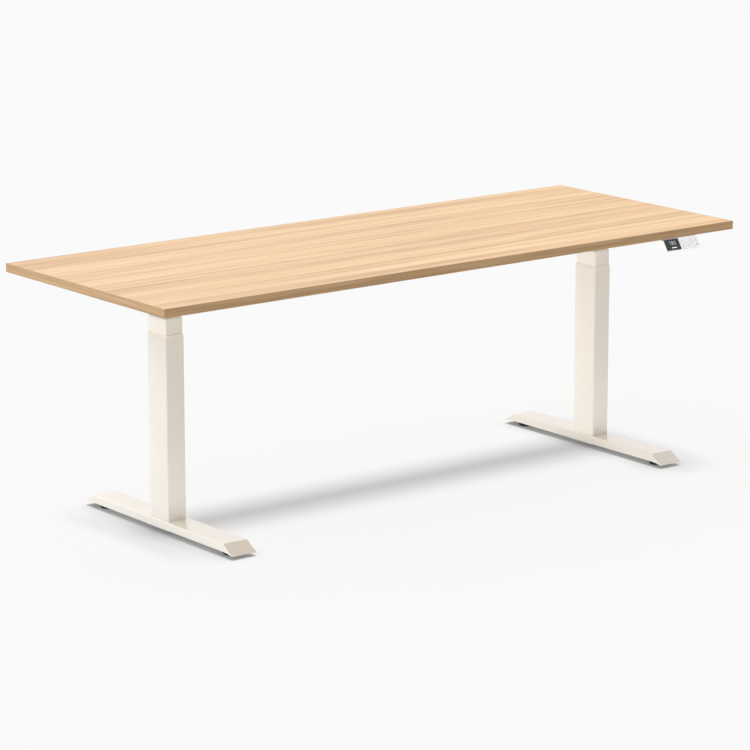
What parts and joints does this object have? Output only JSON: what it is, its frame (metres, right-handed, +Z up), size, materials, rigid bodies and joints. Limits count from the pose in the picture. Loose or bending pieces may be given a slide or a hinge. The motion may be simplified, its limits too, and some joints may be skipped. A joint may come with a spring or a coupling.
{
  "type": "height adjustable standing desk",
  "caption": "Electric standing desk: oak-look rectangular top on T-shaped steel legs with telescopic columns, levelling feet and a handset under the front edge.",
  "frame": {"origin": "on the floor, under the middle of the desk's overall box (desktop and the handset that stands out in front)", "axes": "+X along the desktop to the user's right, +Y away from the user, +Z up"},
  "size_m": [2.1, 0.822, 0.735],
  "materials": {
    "oak": "melamine-faced board with an oak grain, satin",
    "oak_edge": "edge banding with an oak grain, matt",
    "cream_coat": "fine powder coat, semi-gloss",
    "galvanised": "zinc-plated sheet",
    "steel": "ground screw steel, oiled",
    "motor_black": "black-painted motor and gear housing",
    "dark_plastic": "black moulded plastic, fine texture",
    "glide_plastic": "black moulded plastic",
    "cream_plastic": "moulded plastic matched to the coat",
    "guide_plastic": "slippery natural plastic",
    "handset_white": "white moulded plastic, satin",
    "key_white": "white moulded keys, satin",
    "display_black": "smoked window, glossy"
  },
  "bodies": {
    "base": {"foot_left": "cream_coat", "foot_stiffener_left": "galvanised", "outer_column_left": "cream_coat", "outer_collar_left": "cream_plastic", "nut_post_left": "galvanised", "foot_right": "cream_coat", "foot_stiffener_right": "galvanised", "outer_column_right": "cream_coat", "outer_collar_right": "cream_plastic", "nut_post_right": "galvanised"},
    "upper": {"desktop_panel": "oak", "edge_band_front": "oak_edge", "edge_band_back": "oak_edge", "edge_band_left": "oak_edge", "edge_band_right": "oak_edge", "inner_column_left": "cream_coat", "inner_guide_left": "guide_plastic", "leg_head_left": "cream_coat", "gearbox_left": "motor_black", "motor_left": "motor_black", "side_bracket_left": "cream_coat", "inner_column_right": "cream_coat", "inner_guide_right": "guide_plastic", "leg_head_right": "cream_coat", "gearbox_right": "motor_black", "motor_right": "motor_black", "side_bracket_right": "cream_coat", "rail_front": "cream_coat", "rail_back": "cream_coat", "control_box_base": "dark_plastic", "control_box_cover": "dark_plastic", "mains_inlet": "glide_plastic", "handset_housing": "handset_white", "handset_face": "handset_white", "handset_display": "display_black", "motor_lead_left": "dark_plastic", "motor_lead_right": "dark_plastic", "handset_lead": "dark_plastic"},
    "middle_left": {"middle_column_left": "cream_coat", "middle_collar_left": "cream_plastic", "middle_carrier_left": "guide_plastic"},
    "middle_right": {"middle_column_right": "cream_coat", "middle_collar_right": "cream_plastic", "middle_carrier_right": "guide_plastic"},
    "drive_screw_left": {"drive_screw_left": "steel"},
    "screw_sleeve_left": {"screw_sleeve_left": "steel"},
    "drive_screw_right": {"drive_screw_right": "steel"},
    "screw_sleeve_right": {"screw_sleeve_right": "steel"},
    "glide_left_front": {"glide_left_front": "glide_plastic"},
    "glide_left_back": {"glide_left_back": "glide_plastic"},
    "glide_right_front": {"glide_right_front": "glide_plastic"},
    "glide_right_back": {"glide_right_back": "glide_plastic"},
    "key_up": {"key_up": "key_white"},
    "key_down": {"key_down": "key_white"},
    "key_memory_1": {"key_memory_1": "key_white"},
    "key_memory_2": {"key_memory_2": "key_white"},
    "key_memory_3": {"key_memory_3": "key_white"},
    "key_memory_4": {"key_memory_4": "key_white"},
    "key_set": {"key_set": "key_white"},
    "key_lock": {"key_lock": "key_white"}
  },
  "joints": [
    {"name": "lift", "type": "slide", "parent": "base", "child": "upper", "axis": [0, 0, 1], "range_m": [-0.085, 0.565]},
    {"name": "middle_left_slide", "type": "slide", "parent": "base", "child": "middle_left", "axis": [0, 0, 1], "range_m": [-0.0425, 0.2825]},
    {"name": "middle_right_slide", "type": "slide", "parent": "base", "child": "middle_right", "axis": [0, 0, 1], "range_m": [-0.0425, 0.2825]},
    {"name": "drive_screw_left_turn", "type": "hinge", "parent": "upper", "child": "drive_screw_left", "pos_m": [-0.802, -0.0285, 0.6], "axis": [0, 0, 1], "range_deg": [-2560, 16960]},
    {"name": "screw_sleeve_left_turn", "type": "hinge", "parent": "middle_left", "child": "screw_sleeve_left", "pos_m": [-0.802, -0.0285, 0.3], "axis": [0, 0, 1], "range_deg": [-1280, 8480]},
    {"name": "drive_screw_right_turn", "type": "hinge", "parent": "upper", "child": "drive_screw_right", "pos_m": [0.802, -0.0285, 0.6], "axis": [0, 0, 1], "range_deg": [-2560, 16960]},
    {"name": "screw_sleeve_right_turn", "type": "hinge", "parent": "middle_right", "child": "screw_sleeve_right", "pos_m": [0.802, -0.0285, 0.3], "axis": [0, 0, 1], "range_deg": [-1280, 8480]},
    {"name": "glide_left_front_level", "type": "slide", "parent": "base", "child": "glide_left_front", "axis": [0, 0, -1], "range_m": [0, 0.01]},
    {"name": "glide_left_back_level", "type": "slide", "parent": "base", "child": "glide_left_back", "axis": [0, 0, -1], "range_m": [0, 0.01]},
    {"name": "glide_right_front_level", "type": "slide", "parent": "base", "child": "glide_right_front", "axis": [0, 0, -1], "range_m": [0, 0.01]},
    {"name": "glide_right_back_level", "type": "slide", "parent": "base", "child": "glide_right_back", "axis": [0, 0, -1], "range_m": [0, 0.01]},
    {"name": "key_up_press", "type": "slide", "parent": "upper", "child": "key_up", "axis": [0, 0.8321, -0.5547], "range_m": [0, 0.0006], "stiffness_N_per_m": 1000, "springref_m": -0.0006},
    {"name": "key_down_press", "type": "slide", "parent": "upper", "child": "key_down", "axis": [0, 0.8321, -0.5547], "range_m": [0, 0.0006], "stiffness_N_per_m": 1000, "springref_m": -0.0006},
    {"name": "key_memory_1_press", "type": "slide", "parent": "upper", "child": "key_memory_1", "axis": [0, 0.8321, -0.5547], "range_m": [0, 0.0006], "stiffness_N_per_m": 1000, "springref_m": -0.0006},
    {"name": "key_memory_2_press", "type": "slide", "parent": "upper", "child": "key_memory_2", "axis": [0, 0.8321, -0.5547], "range_m": [0, 0.0006], "stiffness_N_per_m": 1000, "springref_m": -0.0006},
    {"name": "key_memory_3_press", "type": "slide", "parent": "upper", "child": "key_memory_3", "axis": [0, 0.8321, -0.5547], "range_m": [0, 0.0006], "stiffness_N_per_m": 1000, "springref_m": -0.0006},
    {"name": "key_memory_4_press", "type": "slide", "parent": "upper", "child": "key_memory_4", "axis": [0, 0.8321, -0.5547], "range_m": [0, 0.0006], "stiffness_N_per_m": 1000, "springref_m": -0.0006},
    {"name": "key_set_press", "type": "slide", "parent": "upper", "child": "key_set", "axis": [0, 0.8321, -0.5547], "range_m": [0, 0.0006], "stiffness_N_per_m": 1000, "springref_m": -0.0006},
    {"name": "key_lock_press", "type": "slide", "parent": "upper", "child": "key_lock", "axis": [0, 0.8321, -0.5547], "range_m": [0, 0.0006], "stiffness_N_per_m": 1000, "springref_m": -0.0006}
  ],
  "couplings": [
    {"joint": "middle_left_slide", "follows": "lift", "ratio": 0.5},
    {"joint": "middle_right_slide", "follows": "lift", "ratio": 0.5},
    {"joint": "drive_screw_left_turn", "follows": "lift", "rad_per_m": 523.6},
    {"joint": "screw_sleeve_left_turn", "follows": "lift", "rad_per_m": 261.8},
    {"joint": "drive_screw_right_turn", "follows": "lift", "rad_per_m": 523.6},
    {"joint": "screw_sleeve_right_turn", "follows": "lift", "rad_per_m": 261.8}
  ]
}
